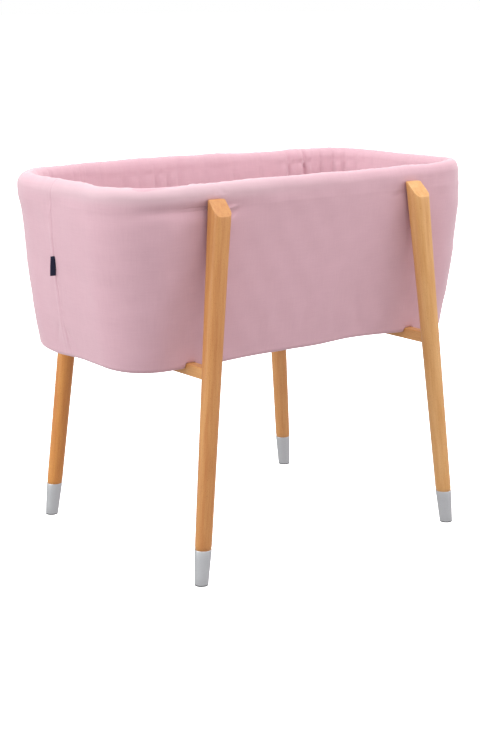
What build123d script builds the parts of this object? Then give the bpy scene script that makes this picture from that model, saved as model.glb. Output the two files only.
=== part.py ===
from build123d import *
import os

# Moses basket on a four-legged wooden stand. Millimetres, +Z up, origin on the floor under the middle.
# X is the basket's length, Y its width, and the front is -Y.

# Rim: a steel hoop with a foam sleeve, inside a fabric roll that follows a rounded rectangle
HALF_LENGTH = 440.0
HALF_WIDTH = 206.0
CORNER_RADIUS = 104.0
RIM_Z = 735.0
ROLL_HEIGHT = 44.0
ROLL_WIDTH = 34.0
ROLL_FABRIC = 2.5
TUBE_RADIUS = 11.0
TUBE_WALL = 1.5
FOAM_GAP = 0.3

# Hoop joints: the long rails meet the end bows on straight stretches
JOINT_X = 300.0
JOINER_LENGTH = 60.0
JOINER_WALL = 1.5
JOINER_GAP = 0.1
BUTTON_RADIUS = 3.5
BUTTON_INSET = 16.0
BUTTON_LENGTH = 6.0
BUTTON_PROUD = 1.2

# Outer cover: a padded wall that leans in towards the bottom, and a padded bottom
CREASE_Z = 712.0
CREASE_OFFSET = 13.0
WALL_FOOT_Z = 420.0
WALL_FOOT_OFFSET = -14.0
WALL_THICKNESS = 5.0
WALL_TOP_Z = 718.0
BOTTOM_Z = 402.0
PAD_TOP_Z = 420.0
INNER_FILLET = 14.0
SWEPT_EDGE_OFFSET = -60.0
PAD_OVERLAP = 5.0
GROOVE_GAP = 0.3

# Base board and quilted lining
BOARD_OFFSET = -34.0
BOARD_THICKNESS = 5.0
LAYER_GAP = 0.3
LINING_TOP_Z = 716.0
LINING_TOP_OFFSET = -10.5
LINING_FOOT_Z = 445.0
LINING_FOOT_OFFSET = -19.5
LINING_THICKNESS = 7.5
LINING_FLOOR = 4.0
LINING_FILLET = 8.0

# Mattress
MATTRESS_OFFSET = -32.0
MATTRESS_THICKNESS = 40.0
MATTRESS_EDGE = 8.0
MATTRESS_FABRIC = 2.0
MATTRESS_GAP = 0.5

# Legs: a round foot that grows into a rounded square, leaning out both ways towards the floor
FOOT_X = 322.0
FOOT_Y = 278.0
LEAN_X = 0.1012
LEAN_Y = 0.0488
LEG_TOP_Z = 732.0
CAP_STRIP = 9.0
CAP_OUTER_Z = 700.0
# Each station: height, side of the section, corner radius
LEG_STATIONS = [(69.6, 32.4, 16.0), (235.0, 35.0, 17.2), (400.0, 37.4, 18.0), (560.0, 37.8, 15.5), (760.0, 38.0, 13.0)]

# Foot ferrule and its glide
FERRULE_TOP_Z = 69.5
FERRULE_TOP_RADIUS = 16.6
FERRULE_FOOT_RADIUS = 13.3
FERRULE_FOOT_Z = 2.0
FERRULE_WALL = 1.2
SPIGOT_FOOT_Z = 5.0
GLIDE_RADIUS = 12.9
GLIDE_PLUG_RADIUS = 11.6
GLIDE_PLUG_Z = 4.8
GLIDE_STEM_RADIUS = 3.0
GLIDE_STEM_Z = 18.0
FIT_GAP = 0.1

# Crossbars, one between each front leg and the leg behind it
BAR_WIDTH = 20.5
BAR_TOP_Z = 413.5
BAR_HEIGHT = 23.0
BAR_EDGE = 2.0
DOWEL_RADIUS = 5.0
DOWEL_LENGTH = 40.0
DOWEL_GAP = 0.05

# Leg fixings: steel tabs hang from the rails, and two bolts a leg pass through spacers into inserts
TAB_WIDTH = 40.0
TAB_FOOT_Z = 668.0
TAB_TOP_Z = 726.0
TAB_INNER_Y = 200.0
TAB_THICKNESS = 3.0
TAB_SLOT_GAP = 0.5
BOLT_HEIGHTS = [706.0, 682.0]
BOLT_RADIUS = 3.0
BOLT_LENGTH = 40.0
BOLT_HEAD_RADIUS = 5.25
BOLT_HEAD_HEIGHT = 3.3
BOLT_CLEARANCE = 0.3
SPACER_RADIUS = 8.0
INSERT_RADIUS = 4.5
INSERT_LENGTH = 14.0
INSERT_DEPTH = 1.0
BLIND_EXTRA = 2.0

# Blank flag label sewn into the upright seam of the left end, standing out from it
SEAM_Y = 25.0
LABEL_Z = (570.0, 608.0)
LABEL_REACH = 11.0
LABEL_THICKNESS = 1.2

SIDES = {"front": -1, "back": 1}
ENDS = {"left": -1, "right": 1}
CORNERS = [(side, end) for side in SIDES for end in ENDS]


def outline(offset):
    """The rim's rounded rectangle, grown outwards by the offset."""
    return RectangleRounded(2 * (HALF_LENGTH + offset), 2 * (HALF_WIDTH + offset), CORNER_RADIUS + offset)


def slab(offset, low_z, high_z):
    """A flat plate with the rim's outline grown by the offset."""
    return Pos(0, 0, low_z) * extrude(outline(offset), high_z - low_z)


def carried_round(section):
    """Carry a section, drawn as outward offset and height, round the rim's outline."""
    path = outline(0).wire()
    start = path.position_at(0)
    outward = Vector(start.X, 0, 0).normalized()
    plane = Plane(origin=start, x_dir=outward, z_dir=path.tangent_at(0) * -1)
    return sweep(plane * section, path=path)


def roll_section(inset):
    """The rim roll's upright stadium section, smaller by the inset all round."""
    stadium = SlotOverall(ROLL_HEIGHT - 2 * inset, ROLL_WIDTH - 2 * inset, rotation=90)
    return Pos(0, RIM_Z) * stadium


def block(x_range, y_range, z_range):
    """A box between the given limits."""
    size = [high - low for low, high in (x_range, y_range, z_range)]
    middle = [(high + low) / 2 for low, high in (x_range, y_range, z_range)]
    return Pos(*middle) * Box(*size)


def along_y(radius, low_y, high_y, x, z):
    """A round bar parallel to Y."""
    bar = Cylinder(radius, abs(high_y - low_y))
    return Pos(x, (low_y + high_y) / 2, z) * Rot(90, 0, 0) * bar


def along_x(radius, low_x, high_x, y, z):
    """A round bar parallel to X."""
    bar = Cylinder(radius, high_x - low_x)
    return Pos((low_x + high_x) / 2, y, z) * Rot(0, 90, 0) * bar


def along_z(radius, low_z, high_z, x, y):
    """A round bar parallel to Z."""
    return Pos(x, y, (low_z + high_z) / 2) * Cylinder(radius, high_z - low_z)


def leg_centre(side, end, z):
    """Where a leg's axis is at a height."""
    return ENDS[end] * (FOOT_X - LEAN_X * z), SIDES[side] * (FOOT_Y - LEAN_Y * z)


def leaning_cone(side, end, low, high):
    """A cone along a leg's axis, cut level, between two (height, radius) ends."""
    rings = []
    for z, radius in (low, high):
        x, y = leg_centre(side, end, z)
        rings.append(Pos(x, y, z) * Circle(radius))
    return loft(rings)


def leg_blank(side, end):
    """The leg above its ferrule, before its cap is cut."""
    sections = []
    for z, width, radius in LEG_STATIONS:
        x, y = leg_centre(side, end, z)
        sections.append(Pos(x, y, z) * RectangleRounded(width, width, radius))
    return loft(sections)


def cap_cutter(side, end):
    """What lies above the leg's cap: a level strip beside the basket, then a slope down to the outside."""
    x, y = leg_centre(side, end, LEG_TOP_Z)
    half = LEG_STATIONS[-1][1] / 2
    out = SIDES[side]
    strip_y = y - out * (half - CAP_STRIP)
    outer_y = y + out * half
    slope = (LEG_TOP_Z - CAP_OUTER_Z) / abs(outer_y - strip_y)
    far_y = outer_y + out * half
    far_z = CAP_OUTER_Z - slope * half
    above_z = LEG_TOP_Z + 2 * half
    near_y = y - out * 2 * half
    points = [(near_y, LEG_TOP_Z), (strip_y, LEG_TOP_Z), (far_y, far_z), (far_y, above_z), (near_y, above_z)]
    face = Plane.YZ * make_face(Polyline(*points, close=True))
    return Pos(x - 2 * half, 0, 0) * extrude(face, 4 * half, dir=(1, 0, 0))


def bolt_places(side, end):
    """Where a leg's two bolts cross the leg's inner face."""
    half = LEG_STATIONS[-1][1] / 2
    places = []
    for z in BOLT_HEIGHTS:
        x, y = leg_centre(side, end, z)
        places.append((x, y - SIDES[side] * half, z))
    return places


def spigot_radius(z):
    """The wood's radius inside the ferrule at a height."""
    share = (z - FERRULE_FOOT_Z) / (FERRULE_TOP_Z - FERRULE_FOOT_Z)
    outer = FERRULE_FOOT_RADIUS + share * (FERRULE_TOP_RADIUS - FERRULE_FOOT_RADIUS)
    return outer - FERRULE_WALL - FIT_GAP


def make_leg(side, end):
    """A turned beech leg with its spigot, sloping cap and blind holes."""
    join_z = LEG_STATIONS[0][0]
    foot = (SPIGOT_FOOT_Z, spigot_radius(SPIGOT_FOOT_Z))
    leg = leg_blank(side, end) - cap_cutter(side, end)
    leg += leaning_cone(side, end, foot, (join_z, spigot_radius(join_z)))
    foot_x, foot_y = leg_centre(side, end, 0)
    leg -= along_z(GLIDE_STEM_RADIUS + FIT_GAP, 0, GLIDE_STEM_Z + BLIND_EXTRA, foot_x, foot_y)
    leg -= dowel(side, end, DOWEL_GAP)
    out = SIDES[side]
    depth = out * (INSERT_DEPTH + INSERT_LENGTH + BLIND_EXTRA)
    for x, y, z in bolt_places(side, end):
        leg -= along_y(INSERT_RADIUS + DOWEL_GAP, y - out * INSERT_LENGTH, y + depth, x, z)
        leg -= along_y(BOLT_RADIUS + BOLT_CLEARANCE, y, out * (TAB_INNER_Y + BOLT_LENGTH + BLIND_EXTRA), x, z)
    return leg


def make_ferrule(side, end):
    """A tapered metal sleeve over the foot of a leg."""
    low = (FERRULE_FOOT_Z, FERRULE_FOOT_RADIUS)
    high = (FERRULE_TOP_Z, FERRULE_TOP_RADIUS)
    low_bore = (FERRULE_FOOT_Z, FERRULE_FOOT_RADIUS - FERRULE_WALL)
    high_bore = (FERRULE_TOP_Z, FERRULE_TOP_RADIUS - FERRULE_WALL)
    return leaning_cone(side, end, low, high) - leaning_cone(side, end, low_bore, high_bore)


def make_glide(side, end):
    """A push-in plastic glide with a level foot, which the object stands on."""
    x, y = leg_centre(side, end, 0)
    glide = along_z(GLIDE_RADIUS, 0, FERRULE_FOOT_Z, x, y)
    glide += along_z(GLIDE_PLUG_RADIUS, FERRULE_FOOT_Z, GLIDE_PLUG_Z, x, y)
    return glide + along_z(GLIDE_STEM_RADIUS, GLIDE_PLUG_Z, GLIDE_STEM_Z, x, y)


def bar_place():
    """The crossbars' middle height, and a leg's place there."""
    z = BAR_TOP_Z - BAR_HEIGHT / 2
    x, y = leg_centre("back", "right", z)
    return x, y, z


def dowel(side, end, gap):
    """A dowel from a crossbar's end into its leg, thicker and longer by the gap."""
    x, y, z = bar_place()
    joint_y = y - LEG_STATIONS[2][1] / 2
    low = SIDES[side] * (joint_y - DOWEL_LENGTH / 2 - gap)
    high = SIDES[side] * (joint_y + DOWEL_LENGTH / 2 + gap)
    return along_y(DOWEL_RADIUS + gap, low, high, ENDS[end] * x, z)


def make_crossbar(end):
    """A beech bar whose ends are hollowed to sit against the two legs."""
    x, y, z = bar_place()
    bar = Box(BAR_WIDTH, 2 * y, BAR_HEIGHT)
    bar = fillet(bar.edges().filter_by(Axis.Y), BAR_EDGE)
    bar = Pos(ENDS[end] * x, 0, z) * bar
    for side in SIDES:
        bar -= leg_blank(side, end)
        bar -= dowel(side, end, DOWEL_GAP)
    return bar.solids().sort_by(SortBy.VOLUME)[-1]


def hoop_tube(path):
    """A steel tube along a stretch of the hoop."""
    plane = Plane(origin=path.position_at(0), z_dir=path.tangent_at(0))
    ring = Circle(TUBE_RADIUS) - Circle(TUBE_RADIUS - TUBE_WALL)
    return sweep(plane * ring, path=path)


def button(side, end, gap):
    """A snap button that points down out of the hoop, fatter by the gap."""
    x = ENDS[end] * (JOINT_X - BUTTON_INSET)
    low_z = RIM_Z - TUBE_RADIUS - BUTTON_PROUD
    return along_z(BUTTON_RADIUS + gap, low_z - gap, low_z + BUTTON_LENGTH, x, SIDES[side] * HALF_WIDTH)


def make_rail(side):
    """A straight rail of the hoop with two welded tabs for the legs."""
    y = SIDES[side] * HALF_WIDTH
    rail = hoop_tube(Line((-JOINT_X, y, RIM_Z), (JOINT_X, y, RIM_Z)))
    for end in ENDS:
        x = sum(place[0] for place in bolt_places(side, end)) / 2
        y_range = sorted(SIDES[side] * edge for edge in (TAB_INNER_Y, TAB_INNER_Y + TAB_THICKNESS))
        tab = block((x - TAB_WIDTH / 2, x + TAB_WIDTH / 2), y_range, (TAB_FOOT_Z, TAB_TOP_Z))
        for hole_x, hole_y, z in bolt_places(side, end):
            tab -= along_y(BOLT_RADIUS + BOLT_CLEARANCE, 0, hole_y, hole_x, z)
        rail += tab
        rail -= button(side, end, FIT_GAP)
    return rail


def make_bow(end):
    """A bent end of the hoop, from one rail round to the other."""
    sign = ENDS[end]
    bend_x = HALF_LENGTH - CORNER_RADIUS
    bend_y = HALF_WIDTH - CORNER_RADIUS
    front = (sign * bend_x, -HALF_WIDTH, RIM_Z)
    back = (sign * bend_x, HALF_WIDTH, RIM_Z)
    front_end = (sign * HALF_LENGTH, -bend_y, RIM_Z)
    back_end = (sign * HALF_LENGTH, bend_y, RIM_Z)
    start = Line((sign * (JOINT_X + FIT_GAP), -HALF_WIDTH, RIM_Z), front)
    first_bend = TangentArc(front, front_end, tangent=(sign, 0, 0))
    across = Line(front_end, back_end)
    second_bend = TangentArc(back_end, back, tangent=(0, 1, 0))
    finish = Line(back, (sign * (JOINT_X + FIT_GAP), HALF_WIDTH, RIM_Z))
    return hoop_tube(Wire([start, first_bend, across, second_bend, finish]))


def make_joiners():
    """Short steel sleeves inside the hoop where the rails meet the bows."""
    radius = TUBE_RADIUS - TUBE_WALL - JOINER_GAP
    joiners = []
    for side, end in CORNERS:
        y = SIDES[side] * HALF_WIDTH
        low_x = ENDS[end] * JOINT_X - JOINER_LENGTH / 2
        high_x = low_x + JOINER_LENGTH
        joiner = along_x(radius, low_x, high_x, y, RIM_Z)
        joiner -= along_x(radius - JOINER_WALL, low_x, high_x, y, RIM_Z)
        joiners.append(joiner - button(side, end, FIT_GAP))
    return Compound(joiners)


def make_foam():
    """The foam sleeve round the hoop, open for the tabs and the buttons."""
    section = roll_section(ROLL_FABRIC + FOAM_GAP) - Pos(0, RIM_Z) * Circle(TUBE_RADIUS + FOAM_GAP)
    foam = carried_round(section)
    for side, end in CORNERS:
        foam -= tab_slot(side, end)
        foam -= button(side, end, 2 * FOAM_GAP)
    return foam


def tab_slot(side, end):
    """The room that a tab needs where it passes through foam and fabric."""
    x = sum(place[0] for place in bolt_places(side, end)) / 2
    half = TAB_WIDTH / 2 + TAB_SLOT_GAP
    edges = (TAB_INNER_Y - TAB_SLOT_GAP, TAB_INNER_Y + TAB_THICKNESS + TAB_SLOT_GAP)
    y_range = sorted(SIDES[side] * edge for edge in edges)
    return block((x - half, x + half), y_range, (TAB_FOOT_Z, RIM_Z))


def wall_offset(z):
    """The outer cover's outward offset at a height on its leaning wall."""
    share = (z - WALL_FOOT_Z) / (CREASE_Z - WALL_FOOT_Z)
    return WALL_FOOT_OFFSET + share * (CREASE_OFFSET - WALL_FOOT_OFFSET)


def cover_section():
    """The wall, the rounded lower edge and the start of the bottom pad."""
    top = (wall_offset(WALL_TOP_Z), WALL_TOP_Z)
    foot = (WALL_FOOT_OFFSET, WALL_FOOT_Z)
    edge_radius = WALL_FOOT_Z - BOTTOM_Z
    under = (WALL_FOOT_OFFSET - edge_radius, BOTTOM_Z)
    inner_foot_z = PAD_TOP_Z + INNER_FILLET
    inner_foot = (wall_offset(inner_foot_z) - WALL_THICKNESS, inner_foot_z)
    inner_under = (inner_foot[0] - INNER_FILLET, PAD_TOP_Z)
    inner_top = (top[0] - WALL_THICKNESS, WALL_TOP_Z)
    lines = Line(top, foot)
    lines += RadiusArc(foot, under, edge_radius)
    lines += Polyline(under, (SWEPT_EDGE_OFFSET, BOTTOM_Z), (SWEPT_EDGE_OFFSET, PAD_TOP_Z), inner_under)
    lines += RadiusArc(inner_under, inner_foot, -INNER_FILLET)
    lines += Polyline(inner_foot, inner_top, top)
    return make_face(lines.edges())


def make_cover():
    """The outer cover with its rim roll, bolt eyelets and grooves where it lies over the crossbars."""
    section = cover_section() + roll_section(0) - roll_section(ROLL_FABRIC)
    cover = carried_round(section)
    cover += slab(SWEPT_EDGE_OFFSET + PAD_OVERLAP, BOTTOM_Z, PAD_TOP_Z)
    bar_x, bar_y, bar_z = bar_place()
    groove_half = BAR_WIDTH / 2 + GROOVE_GAP
    for sign in ENDS.values():
        x_range = (sign * bar_x - groove_half, sign * bar_x + groove_half)
        cover -= block(x_range, (-bar_y, bar_y), (BOTTOM_Z - BAR_HEIGHT, BAR_TOP_Z + GROOVE_GAP))
    for side, end in CORNERS:
        cover -= tab_slot(side, end)
        for x, y, z in bolt_places(side, end):
            cover -= along_y(SPACER_RADIUS + GROOVE_GAP, SIDES[side] * TAB_INNER_Y, y, x, z)
    return cover


def make_board():
    """The stiff board between the cover's bottom and the lining."""
    low_z = PAD_TOP_Z + LAYER_GAP
    return slab(BOARD_OFFSET, low_z, low_z + BOARD_THICKNESS)


def lining_floor_z():
    """The height of the lining's underside."""
    return PAD_TOP_Z + BOARD_THICKNESS + 2 * LAYER_GAP


def make_lining():
    """The padded lining: a wall a little inside the cover's, and a thin floor."""
    floor_z = lining_floor_z()
    inner_z = floor_z + LINING_FLOOR
    outer_radius = LINING_FOOT_Z - floor_z
    top = (LINING_TOP_OFFSET, LINING_TOP_Z)
    foot = (LINING_FOOT_OFFSET, LINING_FOOT_Z)
    under = (LINING_FOOT_OFFSET - outer_radius, floor_z)
    inner_top = (LINING_TOP_OFFSET - LINING_THICKNESS, LINING_TOP_Z)
    inner_foot = (LINING_FOOT_OFFSET - LINING_THICKNESS, inner_z + LINING_FILLET)
    inner_under = (inner_foot[0] - LINING_FILLET, inner_z)
    lines = Line(top, foot)
    lines += RadiusArc(foot, under, outer_radius)
    lines += Polyline(under, (SWEPT_EDGE_OFFSET, floor_z), (SWEPT_EDGE_OFFSET, inner_z), inner_under)
    lines += RadiusArc(inner_under, inner_foot, -LINING_FILLET)
    lines += Polyline(inner_foot, inner_top, top)
    lining = carried_round(make_face(lines.edges()))
    return lining + slab(SWEPT_EDGE_OFFSET + PAD_OVERLAP, floor_z, inner_z)


def mattress_block(inset):
    """The mattress with rounded edges, smaller by the inset all round."""
    low_z = lining_floor_z() + LINING_FLOOR + MATTRESS_GAP
    pad = slab(MATTRESS_OFFSET - inset, low_z + inset, low_z + MATTRESS_THICKNESS - inset)
    faces = pad.faces().filter_by(Axis.Z)
    return fillet(faces.edges(), MATTRESS_EDGE - inset)


def make_bolts():
    """Button-head bolts, from inside the tabs into the legs."""
    bolts = []
    for side, end in CORNERS:
        out = SIDES[side]
        tab_y = out * TAB_INNER_Y
        for x, _, z in bolt_places(side, end):
            bolt = along_y(BOLT_RADIUS, tab_y, tab_y + out * BOLT_LENGTH, x, z)
            bolts.append(bolt + along_y(BOLT_HEAD_RADIUS, tab_y - out * BOLT_HEAD_HEIGHT, tab_y, x, z))
    return Compound(bolts)


def make_spacers():
    """Round spacers between the tabs and the legs, cut to the legs' slant."""
    spacers = []
    for side, end in CORNERS:
        out = SIDES[side]
        tab_y = out * (TAB_INNER_Y + TAB_THICKNESS + FIT_GAP)
        leg = leg_blank(side, end)
        for x, y, z in bolt_places(side, end):
            spacer = along_y(SPACER_RADIUS, tab_y, y + out * SPACER_RADIUS / 2, x, z) - leg
            spacer -= along_y(BOLT_RADIUS + BOLT_CLEARANCE, tab_y, y + out * SPACER_RADIUS, x, z)
            spacers.append(spacer.solids().sort_by(SortBy.VOLUME)[-1])
    return Compound(spacers)


def make_inserts():
    """Threaded steel inserts, sunk into the legs' inner faces."""
    inserts = []
    for side, end in CORNERS:
        out = SIDES[side]
        for x, y, z in bolt_places(side, end):
            low_y = y + out * INSERT_DEPTH
            insert = along_y(INSERT_RADIUS, low_y, low_y + out * INSERT_LENGTH, x, z)
            inserts.append(insert - along_y(BOLT_RADIUS + FIT_GAP, y, y + out * BOLT_LENGTH, x, z))
    return Compound(inserts)


def make_label():
    """A blank folded label that stands straight out from the left end's wall."""
    low_z, high_z = LABEL_Z
    low_x = -(HALF_LENGTH + wall_offset(low_z) + GROOVE_GAP)
    high_x = -(HALF_LENGTH + wall_offset(high_z) + GROOVE_GAP)
    corners = [(low_x, low_z), (high_x, high_z), (high_x - LABEL_REACH, high_z), (low_x - LABEL_REACH, low_z)]
    face = Plane.XZ * make_face(Polyline(*corners, close=True))
    return Pos(0, SEAM_Y - LABEL_THICKNESS / 2, 0) * extrude(face, LABEL_THICKNESS, dir=(0, 1, 0))


def make_parts():
    """Every piece by its node name."""
    parts = {}
    for side, end in CORNERS:
        parts[f"leg_{side}_{end}"] = make_leg(side, end)
        parts[f"ferrule_{side}_{end}"] = make_ferrule(side, end)
        parts[f"glide_{side}_{end}"] = make_glide(side, end)
    for end in ENDS:
        parts[f"crossbar_{end}"] = make_crossbar(end)
        parts[f"rim_bow_{end}"] = make_bow(end)
    for side in SIDES:
        parts[f"rim_rail_{side}"] = make_rail(side)
    parts["crossbar_dowels"] = Compound([dowel(side, end, 0) for side, end in CORNERS])
    parts["rim_joiners"] = make_joiners()
    parts["rim_buttons"] = Compound([button(side, end, 0) for side, end in CORNERS])
    parts["rim_foam"] = make_foam()
    parts["leg_bolts"] = make_bolts()
    parts["leg_spacers"] = make_spacers()
    parts["leg_inserts"] = make_inserts()
    parts["outer_cover"] = make_cover()
    parts["base_board"] = make_board()
    parts["lining"] = make_lining()
    parts["label_tag"] = make_label()
    parts["mattress_core"] = mattress_block(MATTRESS_FABRIC + LAYER_GAP)
    parts["mattress_cover"] = mattress_block(0) - mattress_block(MATTRESS_FABRIC)
    return parts


os.makedirs("parts", exist_ok=True)
for node, shape in make_parts().items():
    export_step(shape, f"parts/{node}.step")
    print(node, len(shape.solids()), round(shape.volume))
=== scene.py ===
"""Looks of a padded fabric baby basket on a splayed beech stand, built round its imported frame.

Lengths inside the classes are millimetres in the frame's own axes; meshes are written in metres.
"""
import logging
import math
from dataclasses import dataclass, field
from enum import Enum

import bpy
import numpy as np
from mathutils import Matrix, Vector


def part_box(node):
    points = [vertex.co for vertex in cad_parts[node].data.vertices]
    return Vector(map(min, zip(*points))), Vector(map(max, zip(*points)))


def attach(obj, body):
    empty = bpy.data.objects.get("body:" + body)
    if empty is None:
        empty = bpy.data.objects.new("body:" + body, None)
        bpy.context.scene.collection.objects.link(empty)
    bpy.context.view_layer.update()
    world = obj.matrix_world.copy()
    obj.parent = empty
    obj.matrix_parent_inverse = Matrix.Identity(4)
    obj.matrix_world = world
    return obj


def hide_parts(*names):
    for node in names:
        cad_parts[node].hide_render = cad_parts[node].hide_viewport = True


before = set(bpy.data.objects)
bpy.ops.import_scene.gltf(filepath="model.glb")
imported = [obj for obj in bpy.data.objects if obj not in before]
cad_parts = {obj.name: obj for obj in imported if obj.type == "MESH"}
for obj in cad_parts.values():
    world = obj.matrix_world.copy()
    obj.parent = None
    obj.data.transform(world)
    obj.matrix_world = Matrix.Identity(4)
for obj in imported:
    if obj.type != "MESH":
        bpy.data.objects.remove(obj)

LOG = logging.getLogger("basket")
MM = 0.001
SOCKET = bpy.types.NodeSocket


class Weave(Enum):
    """How a cloth's threads lie, as (thread spacing across, thread spacing along) in millimetres."""

    PLAIN = (1.3, 1.3)
    JERSEY = (1.1, 1.7)
    RIBBON = (0.8, 1.6)


class Grain(Enum):
    """The axis that a wooden piece's grain runs along."""

    OWN = "own"
    ALONG_Y = "along_y"


# ---------------------------------------------------------------- small tools


def linear(hex_colour: str) -> tuple:
    """Turn an sRGB hex colour into linear red, green, blue and an alpha of 1.

    Args:
        hex_colour: six hex digits.
    Returns:
        Four floats.
    """
    parts = [int(hex_colour[i:i + 2], 16) / 255 for i in (0, 2, 4)]
    return tuple(p / 12.92 if p <= 0.04045 else ((p + 0.055) / 1.055) ** 2.4 for p in parts) + (1.0,)


def add_node(tree, kind: str, settings: dict = None, inputs: dict = None):
    """Add a shader node with its settings, values and links.

    Args:
        tree: the node tree.
        kind: the node's type name.
        settings: attribute names and values.
        inputs: socket names or numbers, each with a value or an output socket.
    Returns:
        The new node.
    """
    made = tree.nodes.new(kind)
    for key, value in (settings or {}).items():
        setattr(made, key, value)
    for key, value in (inputs or {}).items():
        if isinstance(value, SOCKET):
            tree.links.new(value, made.inputs[key])
        else:
            made.inputs[key].default_value = value
    return made


def new_material(name: str) -> tuple:
    """Start a material: the material, its node tree and its main shader."""
    made = bpy.data.materials.new(name)
    made.use_nodes = True
    return made, made.node_tree, made.node_tree.nodes["Principled BSDF"]


def set_sockets(shader, values: dict) -> None:
    """Set a shader's constant sockets."""
    for socket, value in values.items():
        shader.inputs[socket].default_value = value


def hill(x: np.ndarray, centre: float, width: float) -> np.ndarray:
    """A smooth hill of height 1: e to the minus squared distance from the centre, in widths."""
    return np.exp(-(((x - centre) / width) ** 2))


def ramp(x: np.ndarray, low: float, high: float) -> np.ndarray:
    """A smooth step from 0 at low to 1 at high: 3t squared minus 2t cubed."""
    t = np.clip((x - low) / (high - low), 0, 1)
    return t * t * (3 - 2 * t)


def squarish(wave: np.ndarray, power: float) -> np.ndarray:
    """A wave made squarer: its sign times its size to a power below 1."""
    return np.sign(wave) * np.abs(wave) ** power


def undulation(points: np.ndarray, seed: int, wavelength: float, waves: int = 9) -> np.ndarray:
    """Gentle irregular waves: a sum of sines in random directions with lengths near the given one.

    Args:
        points: positions, with x, y and z last.
        seed: the random seed.
        wavelength: the middle wavelength.
        waves: how many sines.
    Returns:
        Values of about -1 to 1.
    """
    rng = np.random.default_rng(seed)
    total = np.zeros(points.shape[:-1])
    for _ in range(waves):
        direction = rng.normal(size=3)
        direction /= np.linalg.norm(direction)
        length = wavelength * rng.uniform(0.6, 1.6)
        total += np.sin(points @ direction * 2 * math.pi / length + rng.uniform(0, 2 * math.pi))
    return total / math.sqrt(waves)


def link(mesh, name: str):
    """Make an object of a mesh in the scene's collection."""
    made = bpy.data.objects.new(name, mesh)
    bpy.context.scene.collection.objects.link(made)
    return made


def mesh_object(name: str, points: np.ndarray, faces: np.ndarray, uv: np.ndarray = None):
    """Make a smooth closed mesh from arrays, and turn its faces outwards.

    The enclosed volume is the sum over triangles of a . (b x c) / 6. If it is negative, faces are reversed.

    Args:
        name: the object's name.
        points: vertex positions in millimetres, one a row.
        faces: corner numbers, four a row; a triangle repeats its last corner.
        uv: one (u, v) in metres for each corner of each face, or None.
    Returns:
        The object.
    """
    a, b, c, d = (points[faces[:, i]] for i in range(4))
    volume = np.einsum("ij,ij->", a, np.cross(b, c)) + np.einsum("ij,ij->", a, np.cross(c, d))
    if volume < 0:
        faces = faces[:, ::-1]
        uv = None if uv is None else uv[:, ::-1]
    triangle = (faces[:, 3] == faces[:, 2]) | (faces[:, 0] == faces[:, 1])
    first = faces[:, 0] == faces[:, 1]
    keep = np.ones(faces.shape, bool)
    keep[triangle & ~first, 3] = False
    keep[first, 0] = False
    sizes = keep.sum(1)
    starts = np.concatenate([[0], np.cumsum(sizes)[:-1]])
    mesh = bpy.data.meshes.new(name)
    mesh.vertices.add(len(points))
    mesh.vertices.foreach_set("co", (points * MM).astype(np.float32).ravel())
    mesh.loops.add(int(sizes.sum()))
    mesh.loops.foreach_set("vertex_index", faces[keep].astype(np.int32))
    mesh.polygons.add(len(faces))
    mesh.polygons.foreach_set("loop_start", starts.astype(np.int32))
    mesh.polygons.foreach_set("use_smooth", np.ones(len(faces), bool))
    if uv is not None:
        layer = mesh.uv_layers.new(name="cloth")
        layer.data.foreach_set("uv", uv[keep].astype(np.float32).ravel())
    mesh.update(calc_edges=True)
    mesh.validate()
    return link(mesh, name)


def tube_faces(rows: int, columns: int) -> np.ndarray:
    """Faces of a grid whose columns close on themselves, as corner numbers."""
    row, column = np.meshgrid(np.arange(rows - 1), np.arange(columns), indexing="ij")
    after = (column + 1) % columns
    low, high = row * columns, (row + 1) * columns
    return np.stack([low + column, low + after, high + after, high + column], -1).reshape(-1, 4)


def capped_tube(name: str, grid: np.ndarray, u: np.ndarray = None, v: np.ndarray = None):
    """Close a grid of rings into a solid: a tube, with a fan to a middle point at each end.

    Args:
        name: the object's name.
        grid: ring points, as rows, columns and x, y, z.
        u: each column's distance round, with one more value than there are columns, or None for no UV map.
        v: each point's distance along, as rows and columns, or None.
    Returns:
        The object.
    """
    rows, columns = grid.shape[:2]
    ends = np.stack([grid[0].mean(0), grid[-1].mean(0)])
    points = np.concatenate([grid.reshape(-1, 3), ends])
    ring = np.arange(columns)
    after = (ring + 1) % columns
    first, last = rows * columns, rows * columns + 1
    low_fan = np.stack([np.full(columns, first), np.full(columns, first), after, ring], -1)
    high = (rows - 1) * columns
    high_fan = np.stack([high + ring, high + after, np.full(columns, last), np.full(columns, last)], -1)
    faces = np.concatenate([tube_faces(rows, columns), low_fan, high_fan])
    if u is None:
        return mesh_object(name, points, faces)
    row, column = np.meshgrid(np.arange(rows - 1), ring, indexing="ij")
    across = np.stack([u[column], u[column + 1], u[column + 1], u[column]], -1).reshape(-1, 4)
    wrapped = (column + 1) % columns
    along = [v[row, column], v[row, wrapped], v[row + 1, wrapped], v[row + 1, column]]
    along = np.stack(along, -1).reshape(-1, 4)
    fan_u = np.stack([u[ring], u[ring], u[ring + 1], u[ring]], -1)
    low_v = np.stack([v[0] - 1, v[0] - 1, v[0, after], v[0]], -1)
    top_u = np.stack([u[ring], u[ring + 1], u[ring], u[ring]], -1)
    top_v = np.stack([v[-1], v[-1, after], v[-1] + 1, v[-1] + 1], -1)
    across = np.concatenate([across, fan_u, top_u])
    along = np.concatenate([along, low_v, top_v])
    return mesh_object(name, points, faces, np.stack([across, along], -1) * MM)


def ring_faces(rows: int, columns: int) -> np.ndarray:
    """Faces of a grid that closes on itself both ways: its last row joins its first."""
    return tube_faces(rows + 1, columns) % (rows * columns)


def corner_of(node: str) -> tuple:
    """A CAD node's lowest and highest corner in millimetres."""
    low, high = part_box(node)
    return np.array(low) / MM, np.array(high) / MM


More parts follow.
